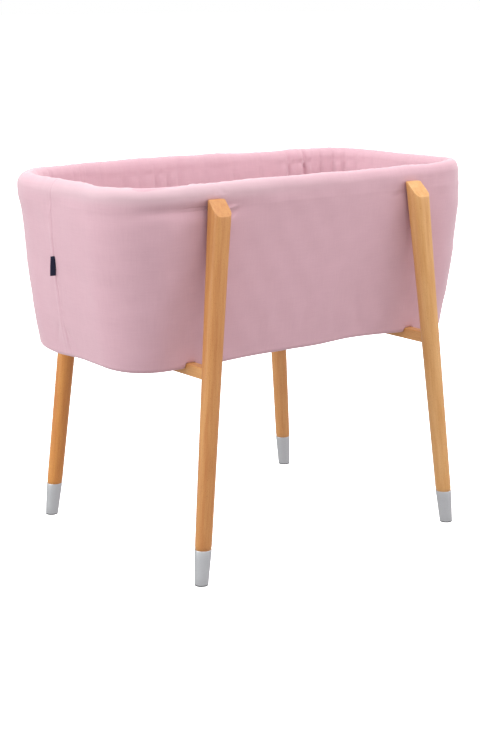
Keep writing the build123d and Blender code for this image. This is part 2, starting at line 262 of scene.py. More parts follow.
@dataclass(frozen=True)
class Blow:
    """How a cloth shell is blown up: its pressure, how much it shrinks, its stiffness, how many frames
    it takes, and the furthest that a point may move, in millimetres.
    """

    pressure: float
    shrink: float
    stiffness: float
    frames: int
    cap: float


def inflated(grid: np.ndarray, faces: np.ndarray, hold: np.ndarray, blow: Blow) -> np.ndarray:
    """Let a closed cloth shell fill out between its pinned places, and return where its points end up.

    A simulated move m is scaled by tanh(|m| / cap) * cap / |m|, so that no point moves past the cap.

    Args:
        grid: ring points in millimetres, as rows, columns and x, y, z.
        faces: corner numbers, four a row.
        hold: how firmly each point is pinned, from 0 to 1, as rows and columns.
        blow: how the cloth is blown up.
    Returns:
        The new ring points.
    """
    points = grid.reshape(-1, 3)
    levels = np.round(hold.ravel(), 2)
    scratch = mesh_object("cloth_scratch", points, faces)
    group = scratch.vertex_groups.new(name="hold")
    for level in np.unique(levels):
        group.add(np.flatnonzero(levels == level).tolist(), float(level), "REPLACE")
    cloth = scratch.modifiers.new("fill_out", "CLOTH")
    rules = cloth.settings
    rules.quality = 6
    rules.mass = 0.15
    rules.tension_stiffness = rules.compression_stiffness = 12
    rules.shear_stiffness = 4
    rules.bending_stiffness = blow.stiffness
    rules.air_damping = 3
    rules.vertex_group_mass = "hold"
    rules.pin_stiffness = 4
    rules.use_pressure = True
    rules.uniform_pressure_force = blow.pressure
    rules.shrink_min = blow.shrink
    rules.effector_weights.gravity = 0
    cloth.collision_settings.use_collision = False
    cloth.point_cache.frame_end = blow.frames
    scene = bpy.context.scene
    for number in range(1, blow.frames + 1):
        scene.frame_set(number)
    seen = scratch.evaluated_get(bpy.context.evaluated_depsgraph_get())
    flat = np.empty(len(points) * 3, np.float32)
    seen.data.vertices.foreach_get("co", flat)
    scene.frame_set(1)
    mesh = scratch.data
    bpy.data.objects.remove(scratch)
    bpy.data.meshes.remove(mesh)
    move = flat.reshape(-1, 3).astype(float) / MM - points
    size = np.maximum(np.linalg.norm(move, axis=1, keepdims=True), 1e-6)
    LOG.info("cloth: %d points, mean move %.1f mm, most %.1f mm", len(points), size.mean(), size.max())
    return (points + move * np.tanh(size / blow.cap) * blow.cap / size).reshape(grid.shape)


# ---------------------------------------------------------------- finishes


@dataclass(frozen=True)
class Cloth:
    """Woven or knitted cotton: soft and matt, with slubs both ways and a faint bloom at grazing angles.

    The stretched colour, if there is one, is a painted highlight: a paler, greyer pink mixed in where the
    piece's painted-highlight share is high.
    """

    name: str
    colour: str
    deep: str
    weave: Weave = Weave.PLAIN
    slub_width: float = 2.6
    slub_length: float = 42.0
    sheen: float = 0.4
    relief: float = 0.15
    # Painted highlight colour: the paler, greyer pink of brightly lit cloth, or empty for none.
    stretched: str = ""

    def material(self):
        """Build the material. Slubs and threads are drawn on the piece's own UV map, in metres.

        Real threads are about 0.4 mm apart, too fine to show, so they are drawn three times as coarse.

        Returns:
            The material.
        """
        made, tree, shader = new_material(self.name)
        place = add_node(tree, "ShaderNodeUVMap", {"uv_map": "cloth"}).outputs["UV"]
        streaks = []
        for wide, tall in ((self.slub_width, self.slub_length), (self.slub_length, self.slub_width)):
            scale = (1 / (wide * MM), 1 / (tall * MM), 1.0)
            stretched = add_node(tree, "ShaderNodeMapping", {}, {"Vector": place, "Scale": scale})
            settings = {"noise_dimensions": "2D"}
            inputs = {"Vector": stretched.outputs[0], "Scale": 1.0, "Detail": 3.0, "Roughness": 0.6}
            streaks.append(add_node(tree, "ShaderNodeTexNoise", settings, inputs).outputs["Fac"])
        both = add_node(tree, "ShaderNodeMath", {"operation": "ADD"}, {0: streaks[0], 1: streaks[1]})
        inputs = {"Value": both.outputs[0], "From Min": 0.7, "From Max": 1.3}
        share = add_node(tree, "ShaderNodeMapRange", {}, inputs)
        inputs = {0: share.outputs[0], 6: linear(self.deep), 7: linear(self.colour)}
        mixed = add_node(tree, "ShaderNodeMix", {"data_type": "RGBA"}, inputs)
        tint = mixed.outputs[2]
        # Painted highlight: mix the base colour towards the paler pink by the piece's highlight share.
        if self.stretched:
            highlight_share = add_node(tree, "ShaderNodeAttribute", {"attribute_name": "painted_highlight"}).outputs["Fac"]
            inputs = {0: highlight_share, 6: tint, 7: linear(self.stretched)}
            tint = add_node(tree, "ShaderNodeMix", {"data_type": "RGBA"}, inputs).outputs[2]
        tree.links.new(tint, shader.inputs["Base Color"])
        threads = []
        for axis, spacing in zip("XY", self.weave.value):
            settings = {"wave_type": "BANDS", "bands_direction": axis, "wave_profile": "SIN"}
            scale = math.pi / 10 / (spacing * MM)
            inputs = {"Vector": place, "Scale": scale, "Distortion": 0.4, "Detail": 1.0}
            threads.append(add_node(tree, "ShaderNodeTexWave", settings, inputs).outputs["Fac"])
        woven = add_node(tree, "ShaderNodeMath", {"operation": "MULTIPLY"}, {0: threads[0], 1: threads[1]})
        inputs = {0: streaks[0], 1: 0.3, 2: woven.outputs[0]}
        height = add_node(tree, "ShaderNodeMath", {"operation": "MULTIPLY_ADD"}, inputs)
        inputs = {"Strength": self.relief, "Distance": 0.0004, "Height": height.outputs[0]}
        bump = add_node(tree, "ShaderNodeBump", {}, inputs)
        tree.links.new(bump.outputs[0], shader.inputs["Normal"])
        set_sockets(shader, {"Roughness": 0.9, "Specular IOR Level": 0.2})
        set_sockets(shader, {"Sheen Weight": self.sheen, "Sheen Roughness": 0.45})
        return made


@dataclass(frozen=True)
class Wood:
    """Sanded beech under clear satin lacquer: warm, with fine straight grain and short dark flecks."""

    name: str
    light: str
    dark: str
    fleck: str
    grain: Grain = Grain.OWN
    ring_width: float = 5.0
    streak_width: float = 1.6
    streak_length: float = 70.0
    fleck_length: float = 3.0

    def material(self):
        """Build the material from the piece's own grain attribute, or Object coordinates for a bar along Y.

        Returns:
            The material.
        """
        made, tree, shader = new_material(self.name)
        if self.grain is Grain.OWN:
            place = add_node(tree, "ShaderNodeAttribute", {"attribute_name": "grain"}).outputs["Vector"]
        else:
            object_place = add_node(tree, "ShaderNodeTexCoord").outputs["Object"]
            inputs = {"Vector": object_place, "Rotation": (math.pi / 2, 0, 0)}
            place = add_node(tree, "ShaderNodeMapping", {}, inputs).outputs[0]

        def noise(across: float, along: float, detail: float):
            """Noise stretched along the grain, with features of the given millimetres."""
            scale = (1 / (across * MM), 1 / (across * MM), 1 / (along * MM))
            stretched = add_node(tree, "ShaderNodeMapping", {}, {"Vector": place, "Scale": scale})
            inputs = {"Vector": stretched.outputs[0], "Scale": 1.0, "Detail": detail, "Roughness": 0.6}
            return add_node(tree, "ShaderNodeTexNoise", {}, inputs).outputs["Fac"]

        streaks = noise(self.streak_width, self.streak_length, 4.0)
        broad = noise(self.ring_width * 2.4, self.streak_length * 2, 2.0)
        flecks = noise(self.fleck_length / 4, self.fleck_length, 1.0)
        inputs = {0: streaks, 1: 0.55, 2: 0.0}
        part = add_node(tree, "ShaderNodeMath", {"operation": "MULTIPLY_ADD"}, inputs)
        inputs = {0: broad, 1: 0.9, 2: part.outputs[0]}
        both = add_node(tree, "ShaderNodeMath", {"operation": "MULTIPLY_ADD"}, inputs)
        inputs = {"Value": both.outputs[0], "From Min": 0.5, "From Max": 0.95}
        share = add_node(tree, "ShaderNodeMapRange", {}, inputs)
        inputs = {0: share.outputs[0], 6: linear(self.dark), 7: linear(self.light)}
        body = add_node(tree, "ShaderNodeMix", {"data_type": "RGBA"}, inputs)
        inputs = {"Value": flecks, "From Min": 0.6, "From Max": 0.72, "To Max": 0.5}
        spots = add_node(tree, "ShaderNodeMapRange", {}, inputs)
        inputs = {0: spots.outputs[0], 6: body.outputs[2], 7: linear(self.fleck)}
        final = add_node(tree, "ShaderNodeMix", {"data_type": "RGBA"}, inputs)
        tree.links.new(final.outputs[2], shader.inputs["Base Color"])
        rough = add_node(tree, "ShaderNodeMapRange", {}, {"Value": streaks, "To Min": 0.36, "To Max": 0.5})
        tree.links.new(rough.outputs[0], shader.inputs["Roughness"])
        inputs = {"Strength": 0.12, "Distance": 0.0004, "Height": streaks}
        bump = add_node(tree, "ShaderNodeBump", {}, inputs)
        tree.links.new(bump.outputs[0], shader.inputs["Normal"])
        set_sockets(shader, {"IOR": 1.5, "Coat Weight": 0.15, "Coat Roughness": 0.3})
        return made


@dataclass(frozen=True)
class Plain:
    """A moulded, plated or coated finish with a fine grain, such as brushed metal or open foam."""

    name: str
    colour: str
    shade: str
    metallic: float
    roughness: float
    cell: tuple
    bump: float = 0.1

    def material(self):
        """Build the material. The grain is noise on Object coordinates with cells of the given millimetres.

        Returns:
            The material.
        """
        made, tree, shader = new_material(self.name)
        place = add_node(tree, "ShaderNodeTexCoord").outputs["Object"]
        scale = tuple(1 / (size * MM) for size in self.cell)
        cells = add_node(tree, "ShaderNodeMapping", {}, {"Vector": place, "Scale": scale})
        inputs = {"Vector": cells.outputs[0], "Scale": 1.0, "Detail": 3.0}
        noise = add_node(tree, "ShaderNodeTexNoise", {}, inputs).outputs["Fac"]
        inputs = {0: noise, 6: linear(self.shade), 7: linear(self.colour)}
        mixed = add_node(tree, "ShaderNodeMix", {"data_type": "RGBA"}, inputs)
        tree.links.new(mixed.outputs[2], shader.inputs["Base Color"])
        low, high = self.roughness - 0.06, self.roughness + 0.06
        rough = add_node(tree, "ShaderNodeMapRange", {}, {"Value": noise, "To Min": low, "To Max": high})
        tree.links.new(rough.outputs[0], shader.inputs["Roughness"])
        inputs = {"Strength": self.bump, "Distance": 0.0004, "Height": noise}
        bump = add_node(tree, "ShaderNodeBump", {}, inputs)
        tree.links.new(bump.outputs[0], shader.inputs["Normal"])
        set_sockets(shader, {"Metallic": self.metallic})
        return made


@dataclass
class Finishes:
    """Every material of the object, made once."""

    # The cover's third colour is a painted highlight for the brightly lit top of the rim.
    cover = Cloth("dusty_pink_cotton_plain_weave", "D3ACB6", "CFA7B2", stretched="D3BDC2")
    lining = Cloth("dusty_pink_cotton_padded", "D6AEB9", "CFA6B2")
    sheet = Cloth("white_cotton_jersey", "F5F3F0", "EAE7E3", Weave.JERSEY)
    label = Cloth("navy_woven_ribbon", "2E3347", "20243A", Weave.RIBBON, 1.0, 14.0, 0.1)
    beech = Wood("lacquered_beech_turned", "DAA164", "C68548", "9E5E2B")
    beech_dark = Wood("lacquered_beech_turned_dark", "CF9658", "BB7A41", "975526")
    beech_warm = Wood("lacquered_beech_turned_warm", "D9974C", "C57B39", "9A5620")
    beech_pale = Wood("lacquered_beech_turned_pale", "E2B074", "CF9656", "AA6C34")
    beech_bar = Wood("lacquered_beech_planed", "E0AB6C", "CC8F50", "A8662F", Grain.ALONG_Y)
    ferrule = Plain("satin_anodised_aluminium", "D7DADC", "C3C6C9", 0.75, 0.42, (6.0, 6.0, 0.5))
    glide = Plain("dark_grey_nylon_moulded", "55575A", "47494C", 0.0, 0.6, (1.2, 1.2, 1.2))
    hoop = Plain("white_powder_coated_steel", "E6E5E2", "DAD9D6", 0.0, 0.45, (0.9, 0.9, 0.9), 0.2)
    zinc = Plain("bright_zinc_plated_steel", "C9CCD0", "AEB2B8", 1.0, 0.3, (1.0, 1.0, 1.0))
    foam = Plain("cream_open_cell_foam", "EFE9D8", "DDD5C0", 0.0, 0.95, (1.5, 1.5, 1.5), 0.8)
    board = Plain("raw_fibreboard", "A98A64", "8F7250", 0.0, 0.85, (1.4, 1.4, 0.6), 0.3)

    def __post_init__(self) -> None:
        """Make each finish's material."""
        names = [n for n, value in vars(type(self)).items() if hasattr(value, "material")]
        self.made = {n: getattr(self, n).material() for n in names}

    def dress(self, piece, name: str) -> None:
        """Give a piece one finish in its only material slot."""
        piece.data.materials.clear()
        piece.data.materials.append(self.made[name])


# ---------------------------------------------------------------- the rim's outline and the wall's folds


@dataclass
class RimPath:
    """The rounded rectangle that the rim follows, seen from above.

    It starts in the middle of the left end and runs along the front first. Its heading stays the same on the
    straights and turns evenly on the corners, and its place is the running sum of its heading.
    """

    half_length: float
    half_width: float
    corner: float
    columns: int
    dense_at: tuple = ()
    dense_width: float = 18.0
    dense_gain: float = 4.0
    fine_steps: int = 24000

    def __post_init__(self) -> None:
        """Work out the sampled stations, their places and their outward directions."""
        straight_x = 2 * (self.half_length - self.corner)
        straight_y = 2 * (self.half_width - self.corner)
        bend = math.pi / 2 * self.corner
        half_round = [straight_y / 2, bend, straight_x, bend, straight_y / 2]
        lengths = [*half_round[:-1], straight_y, *half_round[1:]]
        knots = np.concatenate([[0], np.cumsum(lengths)])
        quarter = math.pi / 2
        headings = quarter * np.array([-1, -1, 0, 0, 1, 1, 2, 2, 3, 3])
        self.total = float(knots[-1])
        fine = np.linspace(0, self.total, self.fine_steps + 1)
        heading = np.interp(fine, knots, headings)
        middle = (heading[1:] + heading[:-1]) / 2
        step = self.total / self.fine_steps
        x = -self.half_length + np.concatenate([[0], np.cumsum(np.cos(middle))]) * step
        y = np.concatenate([[0], np.cumsum(np.sin(middle))]) * step
        density = np.ones_like(fine)
        for place in self.dense_at:
            density += self.dense_gain * hill(fine, place % self.total, self.dense_width)
        share = np.concatenate([[0], np.cumsum((density[1:] + density[:-1]) / 2)])
        self.s = np.interp(np.linspace(0, 1, self.columns + 1)[:-1], share / share[-1], fine)
        self.round = np.append(self.s, self.total)
        self.centre = np.stack([np.interp(self.s, fine, x), np.interp(self.s, fine, y)], -1)
        turned = np.interp(self.s, fine, heading)
        self.out = np.stack([np.sin(turned), -np.cos(turned)], -1)

    def rings(self, offset: np.ndarray, z: np.ndarray) -> np.ndarray:
        """Points at outward offsets and heights, each given for all rows and columns.

        Returns:
            Rows, columns and x, y, z.
        """
        offset, z = np.broadcast_arrays(offset, z, np.zeros((len(offset), self.columns)))[:2]
        flat = self.centre + self.out * offset[..., None]
        return np.concatenate([flat, z[..., None]], -1)

    def distance_at(self, x: float, y: float) -> float:
        """The distance round of the station nearest to a point."""
        return float(self.s[np.argmin(np.hypot(self.centre[:, 0] - x, self.centre[:, 1] - y))])

    def apart(self, place: float) -> np.ndarray:
        """Each station's signed distance round from a place, the short way."""
        return (self.s - place + self.total / 2) % self.total - self.total / 2

    def resampled(self, columns: int) -> "RimPath":
        """The same outline with evenly spaced stations."""
        return RimPath(self.half_length, self.half_width, self.corner, columns)

    def on_bend(self, end: int, side: int, share_x: float = 0.7, share_y: float = 0.7) -> float:
        """The distance round of a place on a corner bend, so many radii out from the bend's middle."""
        x = self.half_length - self.corner + share_x * self.corner
        y = self.half_width - self.corner + share_y * self.corner
        return self.distance_at(end * x, side * y)

    def flat(self, offset: float, z: float, shrink: np.ndarray) -> np.ndarray:
        """A level sheet of rings at one offset and height, shrunk towards the middle."""
        rings = self.rings(np.full_like(shrink, offset), np.full_like(shrink, z))
        rings[..., :2] *= shrink[..., None]
        return rings


@dataclass(frozen=True)
class Fold:
    """A soft ridge on the unrolled wall, or a valley if its height is negative.

    Its height falls off as e to the minus squared distance aside, and as e to the minus fourth power along.
    """

    place: float
    z: float
    lean: float
    length: float
    width: float
    height: float

    def on(self, path: RimPath, z: np.ndarray) -> np.ndarray:
        """The fold's outward push at each height and station."""
        aside_flat = path.apart(self.place)
        angle = math.radians(self.lean)
        along = aside_flat * math.sin(angle) + (z - self.z) * math.cos(angle)
        aside = aside_flat * math.cos(angle) - (z - self.z) * math.sin(angle)
        return self.height * np.exp(-((aside / self.width) ** 2) - (2 * along / self.length) ** 4)


def gathers(path: RimPath, spacing: float, seed: int, jitter: float = 0.45, weakest: float = 0.3) -> tuple:
    """Irregular gathers round the rim: between two tucks the cloth puffs out as a rounded arch.

    The arch is the absolute sine of pi times a phase that grows by 1 over each irregular cell.

    Args:
        path: the rim's path.
        spacing: the middle distance between tucks.
        seed: the random seed.
        jitter: how uneven the cells are, from 0 to 1.
        weakest: the smallest puff's share of the largest.
    Returns:
        The arch at each station, from 0 to 1, and each station's cell height.
    """
    rng = np.random.default_rng(seed)
    count = round(path.total / spacing)
    cells = rng.uniform(1 - jitter, 1 + jitter, count)
    knots = np.concatenate([[0], np.cumsum(cells)]) / cells.sum() * path.total
    phase = np.interp(path.s, knots, np.arange(count + 1))
    heights = rng.uniform(weakest, 1, count)
    return np.abs(np.sin(math.pi * phase)), heights[np.floor(phase).astype(int) % count]


# ---------------------------------------------------------------- sewn and padded pieces


@dataclass
class OuterCover:
    """The sewn outer cover: rolled rim, leaning wall, rounded lower edge and padded bottom."""

    finishes: Finishes
    roll_half_width: float = 17.0
    roll_half_height: float = 22.0
    corner: float = 104.0
    edge_radius: float = 10.0
    foot_offset: float = -14.8
    wall_top_offset: float = 17.0
    fabric: float = 2.2
    padding: float = 5.0
    bulge: float = 2.2
    seam_y: float = 25.0
    columns: int = 600
    leg_x: float = 250.0
    crease_z: float = 711.0
    bottom_sag: float = 1.0
    groove_half: float = 11.2
    tuck_spacing: float = 32.0
    groove_fade: float = 4.0
    # Strength of the painted highlight on the top of the rim, from 0 to 1.
    highlight_strength: float = 0.5
    path: RimPath = field(init=False)

    def __post_init__(self) -> None:
        """Take the size from the frame and lay out the path, closer together at the seam."""
        low, high = corner_of("outer_cover")
        self.rim_z = high[2] - self.roll_half_height
        self.bottom_z = low[2]
        self.foot_z = self.bottom_z + self.edge_radius
        half_length = high[0] - self.roll_half_width
        half_width = high[1] - self.roll_half_width
        bar_low, bar_high = corner_of("crossbar_right")
        self.bar_x = (bar_low[0] + bar_high[0]) / 2
        self.bar_top = bar_high[2]
        plain = RimPath(half_length, half_width, self.corner, self.columns)
        bars = [
            plain.distance_at(end * self.bar_x, side * half_width) + beside
            for side in (-1, 1)
            for end in (-1, 1)
            for beside in (-13, 13)
        ]
        self.path = RimPath(half_length, half_width, self.corner, self.columns, (-self.seam_y, *bars))

    def leg_places(self) -> dict:
        """Each leg's distance round the path, by its side and end."""
        edge = self.path.half_width
        return {
            (side, end): self.path.distance_at(end * self.leg_x, side * edge)
            for side in (-1, 1)
            for end in (-1, 1)
        }

    def folds(self) -> list:
        """The wall's own folds: drag lines at the legs, puckers at the seam, and soft creases low down."""
        legs = self.leg_places()
        near, far = legs[(-1, -1)], legs[(-1, 1)]
        seam = -self.seam_y
        folds = [
            Fold(near - 32, 711, 90, 50, 1.9, -11.0),
            Fold(near - 75, 713, 90, 130, 12.0, -3.6),
            Fold(near + 34, 706, 76, 46, 4.0, 3.0),
            Fold(near + 38, 694, 62, 44, 4.5, -2.8),
            Fold(near + 30, 676, 48, 50, 6.0, 2.0),
            Fold(near + 24, 736, -32, 26, 3.2, -1.8),
            Fold(near + 8, 744, 12, 24, 2.8, -1.5),
            Fold(far - 34, 702, 80, 40, 5.0, -1.0),
            Fold(far + 30, 700, -70, 40, 6.0, 1.0),
            Fold(seam - 5, 560, 0, 300, 3.5, 0.8),
            Fold(seam + 6, 560, 0, 300, 4.0, 0.6),
            Fold(seam + 14, 448, -24, 60, 3.0, -1.2),
            Fold(seam + 32, 440, -34, 54, 3.6, -1.6),
            Fold(seam - 24, 450, 22, 50, 4.0, -1.0),
            Fold(near + 240, 470, 8, 110, 12.0, -1.4),
            Fold(near + 300, 480, -6, 130, 10.0, 1.2),
            Fold(near + 380, 470, -10, 120, 12.0, -1.6),
            Fold(near + 150, 480, 5, 120, 14.0, 1.0),
        ]
        for side in (legs[(1, -1)], legs[(1, 1)]):
            folds.append(Fold(side - 36, 704, 80, 44, 5.0, -1.3))
            folds.append(Fold(side + 34, 704, -78, 46, 5.0, -1.3))
        return folds

    def pull_in(self, z: np.ndarray) -> np.ndarray:
        """How far the leg fixings pull the cloth in: a hill across at each leg, times a hill in height."""
        depths = {(-1, -1): 5.5, (-1, 1): 3.2, (1, -1): 3.2, (1, 1): 3.2}
        spread = {(-1, -1): (150, 70), (-1, 1): (50, 45), (1, -1): (60, 60), (1, 1): (60, 60)}
        total = np.zeros(np.broadcast_shapes(z.shape, self.path.s.shape))
        for key, place in self.leg_places().items():
            apart = self.path.apart(place)
            before, after = spread[key]
            width = np.where(apart < 0, before, after)
            total = total + depths[key] * np.exp(-((apart / width) ** 2)) * hill(z, self.crease_z, 20.0)
        return total

    def shift(self, z: np.ndarray) -> np.ndarray:
        """How far the rim and the wall stand out past the rounded rectangle at two opposite corners."""
        back_left = self.path.on_bend(-1, 1, 0.8, 0.6)
        front_right = self.path.on_bend(1, -1, 0.8, 0.6)
        swells = [
            Fold(back_left, 775, 0, 150, 140, 6.0),
            Fold(back_left, 560, 0, 300, 140, 1.4),
            Fold(front_right, 725, 0, 90, 120, -2.6),
            Fold(front_right, 590, 0, 200, 120, 2.6),
            Fold(front_right, 525, 0, 120, 120, 2.4),
        ]
        return sum(swell.on(self.path, z) for swell in swells)

    def roll_shift(self, turn: np.ndarray) -> np.ndarray:
        """The rim's share of that shift, all on the roll's outer side and none on its inner side."""
        return self.shift(np.array([[self.rim_z]])) * (0.5 + 0.5 * np.cos(turn))

    def lean(self, z: np.ndarray) -> tuple:
        """The wall's share of its height, and its straight line from foot to crease."""
        share = (z - self.foot_z) / (self.crease_z - self.foot_z)
        return share, self.foot_offset + share * (self.wall_top_offset - self.foot_offset)

    def seam(self, z: np.ndarray) -> np.ndarray:
        """The upright seam on the left end: a narrow groove with small puckers beside it."""
        aside = self.path.apart(12.0 * np.minimum(((z - 590) / 150) ** 2, 1.4) - self.seam_y)
        pucker = np.sin(z / 4.6) * hill(np.abs(aside), 4.0, 3.0) * 0.35
        return -1.6 * hill(aside, 0, 1.3) + pucker

    def wall(self, z: np.ndarray) -> np.ndarray:
        """The wall's outward offset: a straight lean, a slight bulge, folds, and slow unevenness."""
        share, line = self.lean(np.minimum(z, self.crease_z))
        swell = self.bulge * np.sin(np.clip(share, 0, 1) * math.pi)
        where = self.path.rings(line, z)
        uneven = 1.1 * undulation(where, 3, 170) + 0.45 * undulation(where, 4, 60)
        pushed = line + swell + uneven + self.shift(z) - self.pull_in(z)
        for fold in self.folds():
            pushed = pushed + fold.on(self.path, z)
        return pushed

    def outer_rows(self) -> tuple:
        """The visible side, from the middle of the bottom over the rim to the roll's inner lower edge.

        Returns:
            Ring points, and each row's nominal distance along.
        """
        path = self.path
        columns = np.zeros((1, self.columns))
        shrink = np.linspace(0.04, 0.97, 16)[:, None]
        under = self.foot_offset - self.edge_radius
        bottom = path.flat(under, self.bottom_z, shrink)
        angle = np.radians(np.linspace(-90, -6, 8))[:, None]
        edge = path.rings(
            under + self.edge_radius * np.cos(angle) + columns,
            self.foot_z + self.edge_radius * np.sin(angle),
        )
        stretches = ((self.foot_z, 685, 46), (687, 703, 10), (704, 718, 15), (720, self.rim_z, 8))
        z = np.concatenate([np.linspace(*painted_highlight) for painted_highlight in stretches])[:, None]
        level = np.array([[self.rim_z]])
        joined = ramp(z, self.crease_z - 6, self.rim_z - 1)
        roll = self.roll_half_width + self.shift(level) + self.unevenness(np.zeros((1, 1)))
        wall = path.rings(self.wall(z) * (1 - joined) + roll * joined + self.seam(z), z)
        turn = np.radians(np.linspace(5, 178, 30))[:, None]
        low_push = self.wall(np.array([[self.foot_z]])) - self.foot_offset
        edge[..., :2] += path.out * (low_push * ramp(np.degrees(angle), -80, -6))[..., None]
        apron_z = np.linspace(730, 652, 20)[:, None]
        grid = np.concatenate([bottom, edge, wall, self.roll(turn), self.apron(apron_z)])
        grid[..., 2] = self.pressed(grid)
        reach = under + 150
        bend = reach + self.edge_radius * math.pi / 2
        nominal = np.concatenate([
            reach * shrink[:, 0],
            reach + self.edge_radius * (angle[:, 0] + math.pi / 2),
            bend + z[:, 0] - self.foot_z,
            bend + self.rim_z - self.foot_z + 20 * turn[:, 0],
            bend + self.rim_z - self.foot_z + 20 * math.pi + 733 - apron_z[:, 0],
        ])
        return grid, nominal

    def roll(self, turn: np.ndarray) -> np.ndarray:
        """The rim roll: an ellipse, wrinkled by gathers on its inner side and by slow unevenness."""
        arch, heights = gathers(self.path, 24, 11)
        inner = ramp(np.degrees(turn), 62, 115)
        near_left = hill(self.path.apart(250), 0, 150)
        wrinkle = inner * ((1.5 + 2.0 * near_left) * (arch ** 0.7) * heights - 0.8 - near_left)
        tucked = 0.6 * self.corner_folds() * ramp(np.degrees(turn), 105, 175)
        wrinkle = wrinkle + self.unevenness(turn) - tucked
        pinch = np.zeros_like(wrinkle)
        for fold in self.folds():
            if fold.z > self.rim_z:
                pinch = pinch + fold.on(self.path, self.rim_z + self.roll_half_height * np.sin(turn))
        seam = self.seam(self.rim_z + 20 * turn) * (1 - 0.4 * inner)
        grow = wrinkle + pinch + seam
        offset = (self.roll_half_width + grow) * np.cos(turn) + self.roll_shift(turn)
        height = (self.roll_half_height + grow + self.rim_lift()) * np.sin(turn)
        return self.path.rings(offset, self.rim_z + height)

    def unevenness(self, turn: np.ndarray) -> np.ndarray:
        """Slow unevenness of the roll's surface."""
        flat = self.path.rings(np.zeros_like(turn), self.rim_z + 20 * np.sin(turn))
        return 0.7 * undulation(flat, 8, 90) + 0.25 * undulation(flat, 9, 34)

    def corner_folds(self) -> np.ndarray:
        """The deep upright folds of the inside, at the back corners and along the back, as depths."""
        folds = (
            (1499, 10.0, 4.5), (1544, 5.2, 5.5), (1450, 5.2, 3.8), (1414, 4.6, 3.8), (1383, 4.8, 4.2),
            (1347, 3.2, 4.5), (1905, 4.6, 4.2), (1874, 4.0, 4.5), (1843, 2.8, 5.0), (1984, 2.6, 6.5),
            (1698, 3.4, 5.2), (1944, 2.2, 5.2), (2163, 6.0, 3.8), (2189, 4.6, 4.4), (2304, 4.6, 4.4),
            (1626, 2.3, 5.2), (1775, 2.2, 6.0), (2080, 2.6, 5.0),
        )
        total = np.zeros(self.columns)
        for place, depth, width in folds:
            aside = np.abs(self.path.apart(place))
            total += depth * (np.exp(-(aside / width) ** 1.4) - 0.45 * hill(aside, 2.6 * width, 1.6 * width))
        return total

    def rim_lift(self) -> np.ndarray:
        """How much fuller the roll is on top: most along the back, and a little flatter on the right end."""
        path = self.path
        lifts = [
            (path.distance_at(-120, path.half_width), 250, 5.6),
            (path.distance_at(path.half_length, 60), 90, -2.6),
            (path.on_bend(1, -1), 60, 3.6),
            (0.0, 140, 1.0),
            (240.0, 110, -2.8),
        ]
        return sum(height * hill(path.apart(place), 0, width) for place, width, height in lifts)[None, :]

    def apron(self, z: np.ndarray) -> np.ndarray:
        """The cover's inner edge: from the roll straight down, then back behind the top of the lining."""
        offset = np.interp(z, [652, 660, 690, 714, 730], [-13.5, -19.5, -20.2, -19.0, -17.2])
        arch, heights = gathers(self.path, 24, 11)
        puff = 1.3 * (arch ** 0.7) * heights + 1.2 * (1 - np.exp(-self.beside_tuck(self.path) / 5)) - 1.0
        where = self.path.rings(offset + np.zeros((1, self.columns)), z * 0.4)
        puff = puff * (0.7 + 0.5 * undulation(where, 51, 60)) - self.corner_folds() * ramp(-z, -735, -715)
        return self.path.rings(offset - puff, z)

    def beside_tuck(self, path: RimPath) -> np.ndarray:
        """The distance from each of a path's stations to the lining's nearest upright tuck."""
        return np.min(np.abs(path.s[:, None] - self.tuck_places()[None, :]), axis=1)

    def tuck_places(self) -> np.ndarray:
        """Where the lining is stitched back: the distances round of its upright tucks, unevenly spaced."""
        rng = np.random.default_rng(5)
        widths = rng.uniform(0.5, 1.5, round(self.path.total / self.tuck_spacing))
        return np.cumsum(widths) / widths.sum() * self.path.total

    def pressed(self, grid: np.ndarray) -> np.ndarray:
        """Heights with the bottom sagging in the middle and pressed up by the two bars."""
        x, z = grid[..., 0], grid[..., 2]
        near_bottom = 1 - ramp(z, self.bottom_z, self.bottom_z + 60)
        front = ramp(-grid[..., 1], 60, 150)
        lift = front * (4.0 * hill(x, -60, 110) + 7.0 * hill(x, 140, 100))
        for place, width, height in ((self.path.on_bend(-1, 1), 90, 9.5), (20, 80, 5.0), (110, 60, 2.0)):
            lift = lift + height * hill(self.path.apart(place), 0, width)
        lift = lift - self.bottom_sag * hill(x, 0, 170) * (1 - front)
        lowered = z + (lift + 0.7 * undulation(grid, 21, 120)) * near_bottom
        beside = np.abs(np.abs(x) - self.bar_x)
        push = 1 - ramp(beside, self.groove_half, self.groove_half + self.groove_fade)
        floor = self.bottom_z - 30 + push * (self.bar_top + 0.6 - self.bottom_z + 30)
        return np.where(push > 0, np.maximum(lowered, floor), lowered)

    def inner_rows(self) -> np.ndarray:
        """The hidden side: round inside the roll, down the wall, and over the bottom pad."""
        path = self.path
        columns = np.zeros((1, self.columns))
        turn = np.radians(np.linspace(215, 0, 18))[:, None]
        thin_width = self.roll_half_width - self.fabric
        thin_height = self.roll_half_height - self.fabric
        offset = thin_width * np.cos(turn) + self.roll_shift(turn)
        roll = path.rings(offset, self.rim_z + thin_height * np.sin(turn))
        pad_z = self.bar_top + 2.6
        z = np.linspace(self.rim_z - 12, pad_z + 16, 14)[:, None]
        line = self.lean(z)[1] - self.padding
        wall = path.rings(np.minimum(line, self.wall(z) - 2.0), z)
        corner = path.rings(np.array([[-26.0], [-38.0]]) + columns, np.array([[pad_z + 5], [pad_z]]))
        bottom = path.flat(-38.0, pad_z, np.linspace(0.95, 0.04, 8)[:, None])
        return np.concatenate([roll, wall, corner, bottom])

